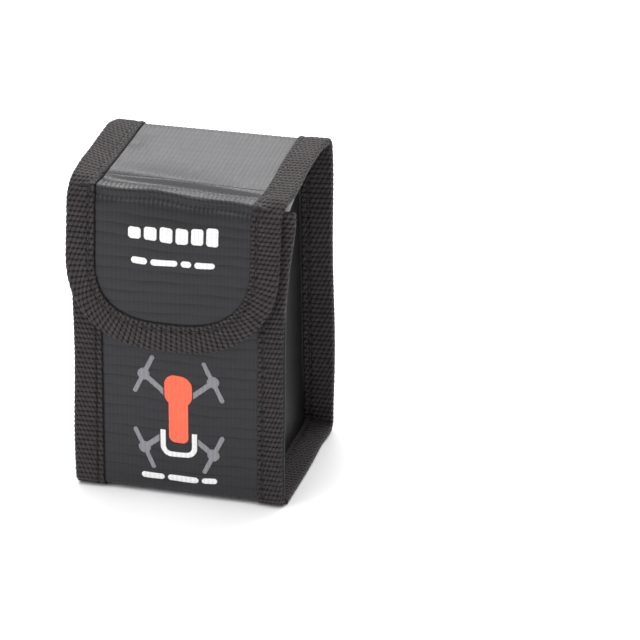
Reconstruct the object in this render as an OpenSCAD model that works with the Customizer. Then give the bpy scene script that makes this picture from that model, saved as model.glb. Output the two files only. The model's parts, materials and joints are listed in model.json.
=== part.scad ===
// A small fire-resistant bag for one model battery.
// One long strip of coated fabric makes the front, the bottom, the back, the lid and the flap.
// Two side panels close the sides, and a folded woven tape binds every outward seam.

/* [Bag] */
// Width over the bindings
bag_w = 78; // [60:1:120]
// Depth at the bottom, over the bindings
bag_d = 67; // [45:1:100]
// Height over the closed lid
bag_h = 116; // [90:1:180]
// How far the front and the back each lean in at the top
lean_in = 5; // [0:0.5:9]
// Radius of the fold between the bottom and the front or back
bottom_r = 4; // [3.5:0.5:6]
// Radius of the folds at the front and back of the lid
fold_r = 3.2; // [3.2:0.1:6]

/* [Fabric] */
// Thickness of the coated outer fabric
panel_t = 0.5; // [0.4:0.05:0.6]
// Thickness of the glass-fibre lining
lining_t = 0.5; // [0.4:0.05:0.6]

/* [Binding] */
// Width of the folded tape
tape_w = 10.5; // [8:0.5:14]
// Thickness of the tape
tape_t = 0.8; // [0.7:0.05:0.9]
// Distance from the tape's inner edge to the seam
seam_inset = 2.3; // [1.5:0.1:4]
// Width of the seam's thread
thread_w = 0.7; // [0.4:0.1:1]
// Thickness of the seam's thread
thread_t = 0.25; // [0.15:0.05:0.4]
// Height of the narrow binding round the mouth
mouth_h = 6; // [4:0.5:10]
// Thickness of the narrow binding round the mouth
mouth_t = 0.4; // [0.3:0.05:0.45]

/* [Flap] */
// Length of the flap from the front fold to its lowest point
flap_l = 59; // [45:1:80]
// Length of the flap's straight sides, below the fold
flap_side = 25; // [16:1:32]
// How square the flap's end is; 2 is an ellipse
flap_power = 2.35; // [2:0.05:2.8]

/* [Closure] */
// Width of the hook strip and of the loop strip
strip_w = 40; // [24:1:44]
// Height of the hook strip and of the loop strip
strip_h = 16; // [12:1:20]
// Distance from the strips' lower corners to the flap's tape
strip_gap = 1.5; // [1:0.5:4]
// Thickness of the loop strip
loop_t = 1.0; // [0.9:0.05:1]
// Space between the closed flap and the front
closing_gap = 0.3; // [0.3:0.1:1]

/* [Print] */
// Thickness of the printed ink
ink_t = 0.12; // [0.08:0.02:0.2]
// Width of the row of blocks on the flap
emblem_w = 34; // [20:1:40]
// Width of the aircraft sign on the front
sign_w = 37; // [28:1:38]
// Height of the line of bars under the aircraft sign
caption_z = 7.5; // [7:0.5:9]

/* [Hidden] */

ARC_STEPS = 8;
FLAP_STEPS = 36;
CIRCLE = 32;

EMBLEM_BLOCKS = 6;
EMBLEM_H = 7;
EMBLEM_DROP = 15;
CAPTION_DROP = 26;
CAPTION_H = 2.2;
// Bare cloth between two inks
INK_GAP = 0.4;
// Lengths of the bars of a caption row, in shares
FLAP_CAPTION = [3, 5, 2, 4];
FRONT_CAPTION = [3, 4, 2];

// Angle by which the front and the back lean
lean = atan(lean_in / bag_h);
// Half the width over the bindings
half_w = bag_w / 2;
// Outer face of a side panel
side_x = half_w - tape_w;
// Inner face of a side lining
inside_x = side_x - panel_t - lining_t;
// A bound seam: tape, two layers of fabric, tape
seam_t = 2 * tape_t + 2 * panel_t;
// The lid's and the flap's bound edge: tape, panel, lining, tape
edge_t = 2 * tape_t + panel_t + lining_t;
// The flap's outer face lies this far in front of the front bindings
flap_out = closing_gap + edge_t;
// Top of the bindings on the body
body_top = bag_h - fold_r - closing_gap;
// Top of the front and side panels, inside the narrow mouth binding
panel_top = body_top - mouth_t;

// The back fold and the front fold, as [y, z] on the outer faces
back_fold = [bag_d / 2 - lean_in, bag_h];
front_fold = [lean_in - bag_d / 2 - flap_out / cos(lean), bag_h];
// Where the lid ends on the flap's face, and where the flap starts, below the fold
lid_end = fold_r * tan((90 - lean) / 2);
flap_start = lid_end + closing_gap;

// Depths below the outer face of the tape
panel_face = -tape_t;
panel_back = panel_face - panel_t;
lining_back = panel_back - lining_t;

// The hook strip takes what the loop strip leaves of the room between the flap and the front
hook_t = 2 * tape_t - loop_t;
// Middle of both strips, below the front fold: their lower corners stay clear of the flap's tape
strip_share = (1 - (strip_w / 2 / side_x) ^ flap_power) ^ (1 / flap_power);
strip_drop = flap_side + (flap_l - flap_side - tape_w) * strip_share - strip_gap - strip_h / 2;
// Middle of both strips, up the front
strip_rise = (bag_h - flap_out * sin(lean)) / cos(lean) - strip_drop;

// Middle of the aircraft sign, up the front
sign_z = caption_z + sign_w * 0.66;

// Points of an arc in the [y, z] plane. An end of a run is an arc of one point.
function arc_points(centre, radius, from, to) =
    let (steps = from == to ? 0 : ARC_STEPS)
    [for (i = [0:steps])
        let (a = from + (to - from) * i / max(steps, 1))
        centre + radius * [cos(a), sin(a)]];

// A run is a list of [centre, radius, from, to], on the tape's outer face. Offsets point outward.
function run_points(run, offset) =
    [for (bend = run) each arc_points(bend[0], bend[1] + offset, bend[2], bend[3])];

function reversed(points) = [for (i = [len(points) - 1:-1:0]) points[i]];

// Up the front, or up the back, at height z on the tape's outer face
function face_y(z) = bag_d / 2 - z * tan(lean);

// From the top of the front, under the bag, to the top of the back
function body_run(front_top, back_top) =
    let (corner = bag_d / 2 - bottom_r * (1 + sin(lean)) / cos(lean))
    [
        [[-face_y(front_top), front_top], 0, 180 - lean, 180 - lean],
        [[-corner, bottom_r], bottom_r, 180 - lean, 270],
        [[corner, bottom_r], bottom_r, 270, 360 + lean],
        [[face_y(back_top), back_top], 0, 360 + lean, 360 + lean]
    ];

// From the front fold over the lid to the back fold
lid_run = [
    [[front_fold[0] + lid_end, bag_h - fold_r], fold_r, 180 - lean, 90],
    [[back_fold[0] - lid_end, bag_h - fold_r], fold_r, 90, lean]
];

// A layer of fabric that follows a run, between two depths, from x0 to x1
module layer(run, inner, outer, x0, x1) {
    translate([x0, 0, 0])
        rotate([90, 0, 90])
            linear_extrude(x1 - x0)
                polygon(concat(run_points(run, outer), reversed(run_points(run, inner))));
}

// A folded tape round an outward seam on the right, with a groove for its thread
module bound_edge(run, depth) {
    difference() {
        union() {
            layer(run, -tape_t, 0, side_x, half_w);
            layer(run, -depth, 0, half_w - tape_t, half_w);
            layer(run, -depth, tape_t - depth, side_x, half_w);
        }
        seam(run, thread_t, 1);
    }
}

// The line of thread in the tape's groove on the right
module seam(run, inner, outer) {
    middle = side_x + seam_inset;
    layer(run, -inner, outer, middle - thread_w / 2, middle + thread_w / 2);
}

// The right-hand piece as it is, or mirrored to the left
module on_side(side) {
    mirror([side == "left" ? 1 : 0, 0, 0])
        children();
}

// Draws in the plane of the front's tape: x across, y up the front, depth along the outward normal
module on_front(from, to) {
    translate([0, -bag_d / 2, 0])
        rotate([90 - lean, 0, 0])
            translate([0, 0, from])
                linear_extrude(to - from)
                    children();
}

// Draws in the plane of the flap's outer face: x across, y up from the front fold
module on_flap(from, to) {
    translate([0, front_fold[0], front_fold[1]])
        rotate([90 - lean, 0, 0])
            translate([0, 0, from])
                linear_extrude(to - from)
                    children();
}

// A point of the flap's rounded end at angle t, moved inward
function flap_point(t, inset) =
    let (
        across = sign(cos(t)) * abs(cos(t)) ^ (2 / flap_power),
        down = sin(t) ^ (2 / flap_power),
        drop = flap_l - flap_side,
        slope = [
            sign(cos(t)) * abs(cos(t)) ^ (2 - 2 / flap_power) / half_w,
            -(sin(t) ^ (2 - 2 / flap_power)) / drop
        ]
    )
    [half_w * across, -flap_side - drop * down] - inset * slope / norm(slope);

// The flap's edge from its top right round to its top left, moved inward
function flap_edge(inset) =
    let (right = half_w - inset)
    concat(
        [[right, -flap_start]],
        [for (i = [0:FLAP_STEPS]) flap_point(180 * i / FLAP_STEPS, inset)],
        [[-right, -flap_start]]
    );

module flap_shape(inset) {
    polygon(flap_edge(inset));
}

module flap_ring(outer, inner) {
    polygon(concat(flap_edge(outer), reversed(flap_edge(inner))));
}

module outer_wrap() {
    color([0.10, 0.10, 0.11])
        layer(body_run(panel_top, body_top), panel_back, panel_face, tape_t - half_w, half_w - tape_t);
}

module wrap_lining() {
    color([0.62, 0.63, 0.62])
        layer(body_run(panel_top, body_top), lining_back, panel_back, -inside_x, inside_x);
}

module side_sheet(x0, x1) {
    translate([x0, 0, 0])
        rotate([90, 0, 90])
            linear_extrude(x1 - x0)
                polygon(run_points(body_run(panel_top, panel_top), panel_back));
}

// The side panel turns outward all round, into the bound seam.
module side_panel(side) {
    color([0.05, 0.05, 0.055])
        on_side(side) {
            side_sheet(side_x - panel_t, side_x);
            layer(body_run(panel_top, panel_top), panel_back - panel_t, panel_back,
                side_x - panel_t, half_w - tape_t);
        }
}

module side_lining(side) {
    color([0.62, 0.63, 0.62])
        on_side(side)
            side_sheet(inside_x, inside_x + lining_t);
}

module body_binding(side) {
    color([0.09, 0.08, 0.08])
        on_side(side)
            bound_edge(body_run(body_top, body_top), seam_t);
}

module body_thread(side) {
    color([0.03, 0.03, 0.03])
        on_side(side)
            seam(body_run(body_top, body_top), thread_t, 0);
}

// A narrow tape folded over the top edge of the front panel and its lining
module front_mouth_binding() {
    top = body_top / cos(lean);
    low = top - mouth_h;
    reach = inside_x - mouth_t;
    color([0.09, 0.08, 0.08])
        union() {
            on_front(panel_face, panel_face + mouth_t)
                translate([-reach, low])
                    square([2 * reach, mouth_h]);
            on_front(lining_back - mouth_t, lining_back)
                translate([-reach, low])
                    square([2 * reach, mouth_h]);
            on_front(lining_back - mouth_t, panel_face + mouth_t)
                translate([-reach, panel_top / cos(lean)])
                    square([2 * reach, top - panel_top / cos(lean)]);
        }
}

// One leg of a side's mouth binding, between the front seam and the back seam
module mouth_leg(x0, x1, low) {
    low_y = face_y(low) - seam_t / cos(lean);
    top_y = face_y(body_top) - seam_t / cos(lean);
    translate([x0, 0, 0])
        rotate([90, 0, 90])
            linear_extrude(x1 - x0)
                polygon([[-low_y, low], [low_y, low], [top_y, body_top], [-top_y, body_top]]);
}

module side_mouth_binding(side) {
    color([0.09, 0.08, 0.08])
        on_side(side) {
            mouth_leg(side_x, side_x + mouth_t, body_top - mouth_h);
            mouth_leg(inside_x - mouth_t, inside_x, body_top - mouth_h);
            mouth_leg(inside_x - mouth_t, side_x + mouth_t, panel_top);
        }
}

module strip_shape(inset) {
    square([strip_w - 2 * inset, strip_h - 2 * inset], center = true);
}

module strip_seam() {
    difference() {
        strip_shape(seam_inset - thread_w / 2);
        strip_shape(seam_inset + thread_w / 2);
    }
}

module loop_strip() {
    color([0.06, 0.06, 0.06])
        difference() {
            on_front(panel_face, panel_face + loop_t)
                translate([0, strip_rise])
                    strip_shape(0);
            on_front(panel_face + loop_t - thread_t, panel_face + loop_t + 1)
                translate([0, strip_rise])
                    strip_seam();
        }
}

module loop_thread() {
    color([0.03, 0.03, 0.03])
        on_front(panel_face + loop_t - thread_t, panel_face + loop_t)
            translate([0, strip_rise])
                strip_seam();
}

module hook_strip() {
    color([0.06, 0.06, 0.06])
        difference() {
            on_flap(lining_back - hook_t, lining_back)
                translate([0, -strip_drop])
                    strip_shape(0);
            on_flap(lining_back - hook_t - 1, lining_back - hook_t + thread_t)
                translate([0, -strip_drop])
                    strip_seam();
        }
}

module hook_thread() {
    color([0.03, 0.03, 0.03])
        on_flap(lining_back - hook_t, lining_back - hook_t + thread_t)
            translate([0, -strip_drop])
                strip_seam();
}

module lid_panel() {
    color([0.12, 0.12, 0.13])
        layer(lid_run, panel_back, panel_face, tape_t - half_w, half_w - tape_t);
}

module lid_lining() {
    color([0.62, 0.63, 0.62])
        layer(lid_run, lining_back, panel_back, tape_t - half_w, half_w - tape_t);
}

module lid_binding(side) {
    color([0.09, 0.08, 0.08])
        on_side(side)
            bound_edge(lid_run, edge_t);
}

module lid_thread(side) {
    color([0.03, 0.03, 0.03])
        on_side(side)
            seam(lid_run, thread_t, 0);
}

module flap_panel() {
    color([0.10, 0.10, 0.11])
        on_flap(panel_back, panel_face)
            flap_shape(tape_t);
}

module flap_lining() {
    color([0.62, 0.63, 0.62])
        on_flap(lining_back, panel_back)
            flap_shape(tape_t);
}

module flap_binding() {
    color([0.09, 0.08, 0.08])
        difference() {
            union() {
                on_flap(-tape_t, 0)
                    flap_ring(0, tape_w);
                on_flap(-edge_t, 0)
                    flap_ring(0, tape_t);
                on_flap(-edge_t, tape_t - edge_t)
                    flap_ring(0, tape_w);
            }
            on_flap(-thread_t, 1)
                flap_seam();
        }
}

module flap_seam() {
    middle = tape_w - seam_inset;
    flap_ring(middle - thread_w / 2, middle + thread_w / 2);
}

module flap_thread() {
    color([0.03, 0.03, 0.03])
        on_flap(-thread_t, 0)
            flap_seam();
}

// A bar with round ends, along x
module pill(length, height) {
    straight = length - height;
    square([straight, height], center = true);
    for (side = [-1, 1])
        translate([side * straight / 2, 0])
            circle(d = height, $fn = CIRCLE);
}

// A rectangle with round corners
module rounded_box(width, height, r) {
    square([width - 2 * r, height], center = true);
    square([width, height - 2 * r], center = true);
    for (x = [-1, 1], y = [-1, 1])
        translate([x * (width / 2 - r), y * (height / 2 - r)])
            circle(r, $fn = CIRCLE);
}

// A row of small bars that stands where a line of print would be
module caption_row(width, height, groups) {
    count = len(groups);
    bar_gap = height * 0.55;
    total = sum_to(groups, count);
    unit = (width - bar_gap * (count - 1)) / total;
    for (i = [0:count - 1])
        translate([(sum_to(groups, i) + groups[i] / 2) * unit + bar_gap * i - width / 2, 0])
            pill(groups[i] * unit, height);
}

function sum_to(values, count) = count == 0 ? 0 : values[count - 1] + sum_to(values, count - 1);

// A charge gauge: a row of blocks, each a little taller than the last
module flap_emblem_print() {
    pitch = emblem_w / EMBLEM_BLOCKS;
    color("white")
        on_flap(panel_face, panel_face + ink_t)
            translate([0, -EMBLEM_DROP])
                for (i = [0:EMBLEM_BLOCKS - 1]) {
                    block_h = EMBLEM_H * (i + 7) / (EMBLEM_BLOCKS + 6);
                    translate([(i + 0.5) * pitch - emblem_w / 2, (block_h - EMBLEM_H) / 2])
                        rounded_box(pitch * 0.8, block_h, 1);
                }
}

module flap_caption_print() {
    color("white")
        on_flap(panel_face, panel_face + ink_t)
            translate([0, -CAPTION_DROP])
                caption_row(emblem_w * 0.9, CAPTION_H, FLAP_CAPTION);
}

// One quarter of the aircraft sign: an arm out of the hull and a rotor with two blades
module rotor_quarter() {
    arm_end = [sign_w * 0.34, sign_w * 0.38];
    arm_start = [sign_w * 0.05, sign_w * 0.14];
    reach = arm_end - arm_start;
    translate((arm_start + arm_end) / 2)
        rotate(atan2(reach[1], reach[0]))
            pill(norm(reach), sign_w * 0.055);
    translate(arm_end) {
        circle(d = sign_w * 0.12, $fn = CIRCLE);
        rotate(-64)
            pill(sign_w * 0.44, sign_w * 0.045);
    }
}

// The hull: a wide rounded nose and a narrower tail, drawn larger by grow all round
module hull_shape(grow) {
    translate([0, sign_w * 0.25])
        rounded_box(sign_w * 0.27 + 2 * grow, sign_w * 0.3 + 2 * grow, sign_w * 0.1);
    rounded_box(sign_w * 0.19 + 2 * grow, sign_w * 0.56 + 2 * grow, sign_w * 0.06);
}

// The outline of the cradle under the hull, drawn larger by grow all round
module cradle_outline(grow) {
    translate([0, sign_w * -0.25])
        rounded_box(sign_w * 0.36 + 2 * grow, sign_w * 0.36 + 2 * grow, sign_w * 0.1);
}

module at_sign() {
    on_front(panel_face, panel_face + ink_t)
        translate([0, sign_z])
            children();
}

module sign_rotor_print() {
    color([0.53, 0.53, 0.55])
        at_sign()
            difference() {
                for (x = [0, 1], y = [0, 1])
                    mirror([x, 0])
                        mirror([0, y])
                            rotor_quarter();
                hull_shape(INK_GAP);
                cradle_outline(INK_GAP);
            }
}

module sign_hull_print() {
    color([1.0, 0.42, 0.31])
        at_sign()
            hull_shape(0);
}

// A cradle under the hull: an upright U with round corners
module sign_frame_print() {
    color("white")
        at_sign()
            difference() {
                cradle_outline(0);
                cradle_outline(sign_w * -0.05);
                hull_shape(INK_GAP);
                translate([-sign_w / 2, sign_w * -0.17])
                    square(sign_w);
            }
}

module front_caption_print() {
    color("white")
        on_front(panel_face, panel_face + ink_t)
            translate([0, caption_z])
                caption_row(sign_w * 0.75, CAPTION_H, FRONT_CAPTION);
}

outer_wrap();
wrap_lining();
side_panel("left");  // left_side_panel
side_panel("right");  // right_side_panel
side_lining("left");  // left_side_lining
side_lining("right");  // right_side_lining
body_binding("left");  // left_body_binding
body_binding("right");  // right_body_binding
body_thread("left");  // left_body_thread
body_thread("right");  // right_body_thread
front_mouth_binding();
side_mouth_binding("left");  // left_mouth_binding
side_mouth_binding("right");  // right_mouth_binding
loop_strip();
loop_thread();
sign_hull_print();
sign_rotor_print();
sign_frame_print();
front_caption_print();
lid_panel();
lid_lining();
lid_binding("left");  // left_lid_binding
lid_binding("right");  // right_lid_binding
lid_thread("left");  // left_lid_thread
lid_thread("right");  // right_lid_thread
flap_panel();
flap_lining();
flap_binding();
flap_thread();
hook_strip();
hook_thread();
flap_emblem_print();
flap_caption_print();
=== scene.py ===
import json
import math
from collections import namedtuple

import bpy
import numpy as np
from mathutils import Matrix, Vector


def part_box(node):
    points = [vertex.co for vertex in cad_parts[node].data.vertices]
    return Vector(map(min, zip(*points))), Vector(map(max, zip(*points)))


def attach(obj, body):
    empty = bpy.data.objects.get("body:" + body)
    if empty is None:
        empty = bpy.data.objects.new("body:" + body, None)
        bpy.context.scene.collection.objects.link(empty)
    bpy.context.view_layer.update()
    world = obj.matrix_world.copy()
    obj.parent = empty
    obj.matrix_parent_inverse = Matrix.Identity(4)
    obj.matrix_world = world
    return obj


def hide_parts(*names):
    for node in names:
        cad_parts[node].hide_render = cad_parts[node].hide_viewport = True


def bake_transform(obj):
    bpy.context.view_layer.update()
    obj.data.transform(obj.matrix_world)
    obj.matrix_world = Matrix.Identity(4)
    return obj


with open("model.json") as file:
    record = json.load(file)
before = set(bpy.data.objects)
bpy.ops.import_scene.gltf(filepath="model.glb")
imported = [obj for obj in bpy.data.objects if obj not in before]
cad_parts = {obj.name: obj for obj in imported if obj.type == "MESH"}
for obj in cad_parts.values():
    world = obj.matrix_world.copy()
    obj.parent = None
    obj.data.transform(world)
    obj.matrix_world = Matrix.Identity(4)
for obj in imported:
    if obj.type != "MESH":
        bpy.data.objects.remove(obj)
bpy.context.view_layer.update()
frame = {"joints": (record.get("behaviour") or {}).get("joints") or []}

# The looks of a small fire-resistant battery bag. Sizes are in millimetres until a mesh is made.
# Every layer of the long strip (front, bottom, back, lid, flap) is drawn flat, as x across, s along
# and d out of the tape's outer face. place() then folds it round the bag, so the layers stay together.

MM = 0.001
SIDES = (("left", -1), ("right", 1))
rng = np.random.default_rng(7)  # for the strips' loops and hooks


def low(node):
    return np.array(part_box(node)[0]) / MM


def high(node):
    return np.array(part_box(node)[1]) / MM


def joint_at(name):
    """A joint's place, as [y, z]."""
    found = next(j for j in frame["joints"] if j["name"] == name)
    return np.array(found["pos_m"][1:]) / MM


# ---- sizes from the frame
HALF_W = high("right_body_binding")[0]
SIDE_X = low("right_body_binding")[0]
TAPE_W = HALF_W - SIDE_X
BODY_TOP = high("right_body_binding")[2]
BACK_FOLD = joint_at("lid_fold")
FRONT_FOLD = joint_at("flap_fold")
FLAP_LOW = low("flap_binding")[2]
STRIP_LOW, STRIP_HIGH = low("loop_strip"), high("loop_strip")
HOOK_LOW, HOOK_HIGH = low("hook_strip"), high("hook_strip")

# ---- sizes of the cloth
LEAN_IN = 5.0
TAPE_T = 0.8
PANEL_T = 0.5
LINING_T = 0.5
MOUTH_H = 6.0
MOUTH_T = 0.4
SEAM_INSET = 2.3
CLOTH_BACK = -TAPE_T - PANEL_T  # depth of the coated cloth's inner face
SEAM_T = 2 * TAPE_T + 2 * PANEL_T
EDGE_T = 2 * TAPE_T + PANEL_T + LINING_T
BOTTOM_R = 4.0
BACK_R = 4.5  # radius of the lid's back fold
FRONT_R = 8.5  # radius of the fold between lid and flap
FLAP_SIDE = 25.0  # length of the flap's straight sides
FLAP_POWER = 2.35  # how square its round end is: 2 is an ellipse
SPLIT_Z = 106.0  # the back's pieces end and the lid's start here, below the back fold
SPLIT_BEHIND = 14.0  # the flap's pieces start this far behind its fold, where nothing turns

GROOVE_PITCH = 3.8  # of the ripstop grooves, along the strip
RIB_PITCH = 1.65  # of the cloth's ribs, across the strip
ROW_PITCH = 1.85  # of the rows of beads along a tape
BEAD_PITCH = 1.6  # of the beads in a row
BEAD_H = 0.42
STITCH_PITCH = 3.3
STITCH_SUNK = 0.42  # depth of a seam's stitches below the tape's face
GLASS_PITCH = 1.1  # of the lining's weave
INK_TOP = 0.11  # height of the ink's face above the cloth
LEFT_WIDER = 0.8  # the left body tape was folded unevenly
UNDER_TAPE = 3.5  # how far the lid's and the flap's linings go on under the tapes
RUN_ON = 2.0  # how far the strip's run goes on past the flap's end

lean = math.atan(LEAN_IN / BACK_FOLD[1])
bag_h = BACK_FOLD[1]
foot = BACK_FOLD[0] + LEAN_IN
flap_l = (FRONT_FOLD[1] - FLAP_LOW) / math.cos(lean)


def back_y(z):
    """Distance of the front's or the back's tape from the middle, at height z."""
    return foot - z * math.tan(lean)


# ---- the run of the strip
def travelled(line):
    """The length along a line of points, at each of them."""
    return np.concatenate([[0], np.cumsum(np.hypot(*np.diff(line[:, :2], axis=0).T))])


def bend(centre, radius, first, last, steps=48):
    """Points [y, z, angle] along an arc."""
    angles = np.linspace(first, last, steps + 1)
    return [(centre[0] + radius * math.cos(a), centre[1] + radius * math.sin(a), a) for a in angles]


Marks = namedtuple("Marks", "bottom_front bottom_back split_back lid_back split_front lid_front fold")


def strip_run():
    """The strip's line in the [y, z] plane, from the top of the front right round to the flap's end."""
    quarter = math.pi / 2
    facing_front, facing_back = math.pi - lean, 2 * math.pi + lean
    corner = foot - BOTTOM_R * (1 + math.sin(lean)) / math.cos(lean)
    back_in = BACK_R * math.tan((quarter - lean) / 2)
    front_in = FRONT_R * math.tan((quarter - lean) / 2)
    back_centre = (BACK_FOLD[0] - back_in, bag_h - BACK_R)
    front_centre = (FRONT_FOLD[0] + front_in, bag_h - FRONT_R)
    front_arc = bend((-corner, BOTTOM_R), BOTTOM_R, facing_front, 3 * quarter)
    back_arc = bend((corner, BOTTOM_R), BOTTOM_R, 3 * quarter, facing_back)
    lid_back = bend(back_centre, BACK_R, facing_back, 5 * quarter)
    lid_front = bend(front_centre, FRONT_R, 5 * quarter, facing_front + 2 * math.pi)
    flap_end = FRONT_FOLD - (flap_l + RUN_ON) * np.array([math.sin(lean), math.cos(lean)])
    points = [(-back_y(BODY_TOP), BODY_TOP, facing_front)]
    points += front_arc + back_arc
    points += [(back_y(SPLIT_Z), SPLIT_Z, facing_back)]
    points += lid_back + lid_front
    points += [(flap_end[0], flap_end[1], facing_front + 2 * math.pi)]
    points = np.array(points)
    s = travelled(points)
    arc = len(front_arc)  # all four have as many points
    lid_front_s = s[3 * arc + 2]
    marks = Marks(
        bottom_front=s[arc],
        bottom_back=s[arc + 1],
        split_back=s[2 * arc + 1],
        lid_back=s[3 * arc + 1],
        split_front=lid_front_s - SPLIT_BEHIND + front_in,
        lid_front=lid_front_s,
        fold=s[-1] - flap_l - RUN_ON,
    )
    return points, s, marks


RUN, RUN_S, MARK = strip_run()


def on_run(s):
    """The run's y, z and outward angle, at lengths along it."""
    return [np.interp(s, RUN_S, RUN[:, k]) for k in range(3)]


def smooth(t):
    """0 up to t = 0, 1 from t = 1, and smooth between."""
    t = np.clip(t, 0, 1)
    return t * t * (3 - 2 * t)


def hill(value, middle, reach):
    """1 at the middle, falling to 0 on both sides."""
    return np.exp(-(((value - middle) / reach) ** 2))


# ---- how the cloth sags
def stretches(s):
    """Whether points are on the front, on the back, and on the lid or the flap."""
    return s < MARK.bottom_front, (s > MARK.bottom_back) & (s < MARK.lid_back), s >= MARK.lid_back


def sag(x, s, z):
    """How far the settled cloth stands out of the straight run. It is the same through all layers."""
    inside = np.clip(1 - (x / SIDE_X) ** 2, 0, 1) ** 1.3
    upright = np.sin(math.pi * np.clip(z / bag_h, 0, 1))
    on_front, on_back, _ = stretches(s)
    v = s - MARK.fold
    body = 0.9 * inside * upright * on_front + 1.6 * inside * upright * on_back
    flap = (0.9 * upright + 0.5 * smooth(v / 14)) * inside * smooth((v - 4) / 12)
    return body + flap - lid_dip(x, s) + fin_splay(x, s, z)


def lid_dip(x, s):
    """The lid sinks between its tapes, most of all in a trough just behind the front fold."""
    near = np.clip(1 - (x / (SIDE_X + 0.5)) ** 2, 0, 1)
    share = np.clip((s - MARK.lid_back) / (MARK.lid_front - MARK.lid_back), 0, 1)
    dip = 1.0 * near * np.sin(math.pi * share)
    crease = hill(s, MARK.lid_front - 1.8 + 0.035 * x, 2.8 - 0.045 * x)
    trough = (2.0 - 0.02 * x) * near ** 0.25 * crease
    dent = 1.3 * hill(x, -SIDE_X + 1, 4.5) * hill(s, MARK.lid_back + 14, 5)
    return dip + trough + dent * near ** 0.3 - front_roll(x, s)


def front_roll(x, s):
    """The front fold's cloth goes on flat past the bend, then drops into a crease above the flap."""
    past = s - MARK.lid_front - 0.3 * np.sin(x / 4.3)
    flat_until = 6.2
    turned = np.clip(past, 0, flat_until + 0.4) / FRONT_R
    level = FRONT_R * (1 / np.cos(turned) - 1) - 0.12 * np.clip(past, 0, flat_until)
    drop = smooth((flat_until + 2.4 - past) / 2.4)
    uneven = 0.7 + 0.3 * np.sin(x / 2.9 + 1)
    lip = uneven * (0.3 * hill(past, flat_until + 4.4, 0.6) - 0.35 * hill(past, flat_until + 3.0, 0.7))
    return smooth((34 - np.abs(x)) / 6) * (level * drop + lip)


def fin_splay(x, s, z):
    """The bound seams stand out from the sides, and each is bent its own way."""
    t = np.clip((np.abs(x) - SIDE_X) / TAPE_W, 0, 1.05)
    right = x > 0
    at_front, at_back, at_lid = stretches(s)
    up = smooth(z / 30) * smooth((bag_h + 4 - z) / 18)
    back = np.where(right, 1.5, 0.9) + 0.35 * np.sin(z / 13 + 2 * right)
    front = np.where(right, -0.5, 0.2) + 0.3 * np.sin(z / 16 + 1.3 * right)
    lid = np.where(right, 0.2, 2.4) * smooth((s - MARK.lid_back + 3) / 12)
    lid = lid * smooth((MARK.lid_front + 7 - s) / 18)
    return t ** 1.6 * (at_back * up * back + at_front * up * front + at_lid * lid)


def lean_flap(x, s):
    """The flap hangs a little askew: it is drawn in on its right, and its left corner lies lower."""
    v = s - MARK.fold
    left = smooth(-x / 34) * smooth((v - 12) / 30)
    right = smooth(x / 34) * smooth((v + 14) / 22)
    return x - 0.4 * smooth((v - 3) / 40) - 1.9 * right - 0.4 * left, s + 2.3 * left


def stand(x, y, z):
    """How the whole bag stands: higher at the back, lower at the front right, its right back seam out."""
    rise = 1.8 * smooth((y + 12) / 38) * smooth((z - 60) / 50)
    drop = 2.0 * smooth((x + 14) / 46) * smooth((4 - y) / 28) * smooth((z - 88) / 24)
    out = 0.9 * smooth((x - 26) / 12) * smooth((y - 16) / 12)
    return x + out, y, z + rise - drop


def place(x, s, d):
    """Folds flat points round the bag. Gives metres."""
    x, s, d = np.broadcast_arrays(np.asarray(x, float), s, d)
    x, s = lean_flap(x, s)
    y, z, angle = on_run(s)
    d = d + sag(x, s, z)
    fin = np.clip((np.abs(x) - SIDE_X) / TAPE_W, 0, 1)
    right_fin = 0.6 * hill(z, 2, 14) - 1.7 + 2.4 * smooth((z - 50) / 50) + 1.6 * smooth((z - 88) / 22)
    front_fin = (s < MARK.bottom_front) * np.where(x > 0, right_fin, 0.5)
    x = x + fin * (np.sign(x) * 0.3 * np.sin(s / 11.0 + np.sign(x)) + front_fin)
    x, y, z = stand(x, y + d * np.cos(angle), z + d * np.sin(angle))
    return np.stack([x, y, z], -1) * MM


# ---- meshes
def grid_faces(rows, columns, closed=False):
    """Faces of a grid of points. A closed grid's last column joins its first."""
    r, c = np.meshgrid(np.arange(rows - 1), np.arange(columns if closed else columns - 1), indexing="ij")
    after = (c + 1) % columns
    faces = [r * columns + c, r * columns + after, (r + 1) * columns + after, (r + 1) * columns + c]
    return np.stack([f.ravel() for f in faces], -1)


def rim_edges(faces):
    """Directed edges that only one face uses."""
    edges = np.concatenate([np.stack([faces[:, k], faces[:, (k + 1) % 4]], -1) for k in range(4)])
    size = int(edges.max()) + 1
    keys = np.sort(edges, 1) @ np.array([size, 1])
    first, count = np.unique(keys, return_index=True, return_counts=True)[1:]
    return edges[first[count == 1]]


def end_caps(start, size, sides):
    """The two ends of a tube of that many points, from the point start on."""
    return [list(range(start, start + sides))[::-1], list(range(start + size - sides, start + size))]


def flipped(faces, caps):
    """The same faces, turned to look the other way."""
    return faces[:, ::-1], [cap[::-1] for cap in caps]


def cloth_coords(across, along):
    """A grid's cloth coordinates in millimetres, for its material."""
    return np.stack(np.broadcast_arrays(across, along, 0.0), -1).reshape(-1, 3)


def add_object(name, data):
    item = bpy.data.objects.new(name, data)
    bpy.context.scene.collection.objects.link(item)
    return item


def add_values(mesh, name, kind, field, values):
    attribute = mesh.attributes.new(name, kind, "POINT")
    attribute.data.foreach_set(field, np.ascontiguousarray(values, np.float32).ravel())


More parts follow.
